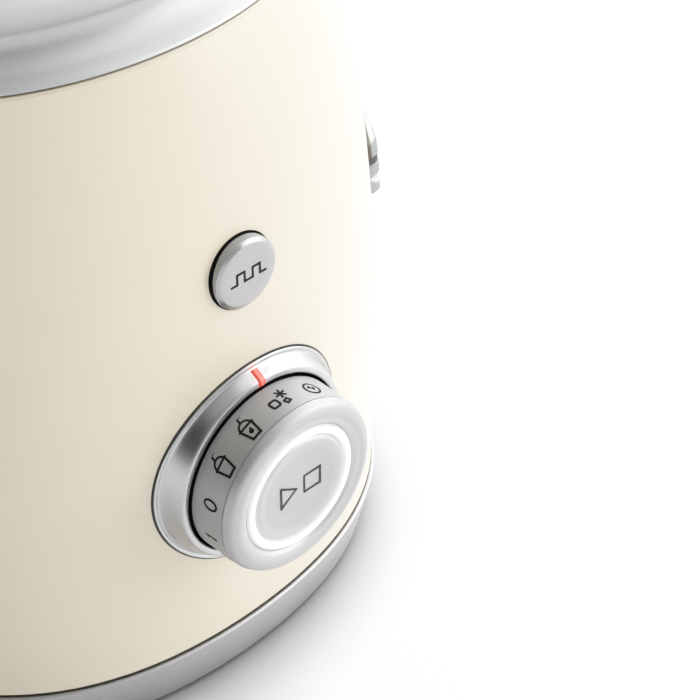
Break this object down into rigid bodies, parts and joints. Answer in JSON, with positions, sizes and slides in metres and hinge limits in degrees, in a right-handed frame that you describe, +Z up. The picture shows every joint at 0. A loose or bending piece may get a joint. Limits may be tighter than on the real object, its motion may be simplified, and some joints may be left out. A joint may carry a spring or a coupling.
{
  "type": "countertop blender",
  "caption": "Countertop blender with a cream painted rounded-square base, program dial with a start button inside it, pulse button, and a lift-off clear jug with blades and lid.",
  "frame": {"origin": "on the motor axis, at the flat middle of the base's underside; the rubber feet reach 2 mm lower", "axes": "+Z up along the motor axis; the controls face -Y, the jug's handle is on +X and its spout on -X"},
  "size_m": [0.1899, 0.1754, 0.398],
  "materials": {
    "cream_paint": "gloss",
    "satin_silver": "satin",
    "bright_silver": "polished",
    "steel": "brushed",
    "copper_wire": "enamelled wire",
    "brass": "turned",
    "carbon": "matt",
    "dark_plastic": "fine grain",
    "board_green": "satin",
    "rubber": "matt",
    "lit_white": "lit diffuser",
    "lit_red": "lit diffuser",
    "clear_plastic": "clear"
  },
  "bodies": {
    "base": {"base_ring": "satin_silver", "body_shell": "cream_paint", "bottom_plate": "dark_plastic", "seat_deck": "dark_plastic", "reed_switch": "dark_plastic", "motor_frame_lower": "steel", "motor_frame_upper": "steel", "motor_stud_1": "steel", "motor_stud_2": "steel", "lower_bearing": "brass", "upper_bearing": "brass", "stator_core": "steel", "field_coil_front": "copper_wire", "field_coil_rear": "copper_wire", "brush_left": "carbon", "brush_right": "carbon", "brush_holder_left": "brass", "brush_holder_right": "brass", "control_carrier": "dark_plastic", "control_board": "board_green", "dial_bezel": "bright_silver", "dial_light": "lit_red", "dial_hub": "dark_plastic", "light_ring": "lit_white", "trim_badge": "bright_silver", "cord_gland": "rubber", "foot_1": "rubber", "base_screw_1": "steel", "foot_2": "rubber", "base_screw_2": "steel", "foot_3": "rubber", "base_screw_3": "steel", "foot_4": "rubber", "base_screw_4": "steel"},
    "rotor": {"motor_shaft": "steel", "rotor_core": "copper_wire", "commutator": "copper_wire", "cooling_fan": "dark_plastic", "drive_coupling": "rubber"},
    "dial": {"program_dial": "satin_silver", "encoder_wheel": "dark_plastic"},
    "start_button": {"start_stop_button": "satin_silver"},
    "pulse_button": {"pulse_button": "satin_silver"},
    "jug": {"jug_collar": "satin_silver", "jug_magnet": "steel", "jug_body": "clear_plastic", "jug_handle": "satin_silver", "blade_hub": "steel", "hub_gasket": "rubber", "hub_nut": "dark_plastic", "blade_bush": "brass", "blade_seal": "rubber"},
    "blades": {"blade_shaft": "steel", "lower_blade": "steel", "upper_blade": "steel", "blade_nut": "steel", "driven_coupling": "dark_plastic"},
    "lid": {"lid": "satin_silver", "lid_gasket": "rubber"},
    "filler_cap": {"filler_cap": "clear_plastic"}
  },
  "joints": [
    {"name": "motor_spin", "type": "hinge", "parent": "base", "child": "rotor", "pos_m": [0, 0, 0.054], "axis": [0, 0, 1], "continuous": true},
    {"name": "blade_spin", "type": "hinge", "parent": "jug", "child": "blades", "pos_m": [0, 0, 0.185], "axis": [0, 0, 1], "continuous": true},
    {"name": "dial_turn", "type": "hinge", "parent": "base", "child": "dial", "pos_m": [0, -0.08, 0.0627], "axis": [0, -1, 0], "range_deg": [-178, 25.4]},
    {"name": "start_stop_press", "type": "slide", "parent": "base", "child": "start_button", "axis": [0, 1, 0], "range_m": [0, 0.0015], "stiffness_N_per_m": 500, "springref_m": -0.001},
    {"name": "pulse_press", "type": "slide", "parent": "base", "child": "pulse_button", "axis": [0, 1, 0], "range_m": [0, 0.002], "stiffness_N_per_m": 400, "springref_m": -0.001},
    {"name": "jug_lift", "type": "slide", "parent": "base", "child": "jug", "axis": [0, 0, 1], "range_m": [0, 0.1]},
    {"name": "lid_lift", "type": "slide", "parent": "jug", "child": "lid", "axis": [0, 0, 1], "range_m": [0, 0.06]},
    {"name": "filler_cap_lift", "type": "slide", "parent": "lid", "child": "filler_cap", "axis": [0, 0, 1], "range_m": [0, 0.05]}
  ],
  "couplings": [
    {"joint": "blade_spin", "follows": "motor_spin", "ratio": 1}
  ]
}
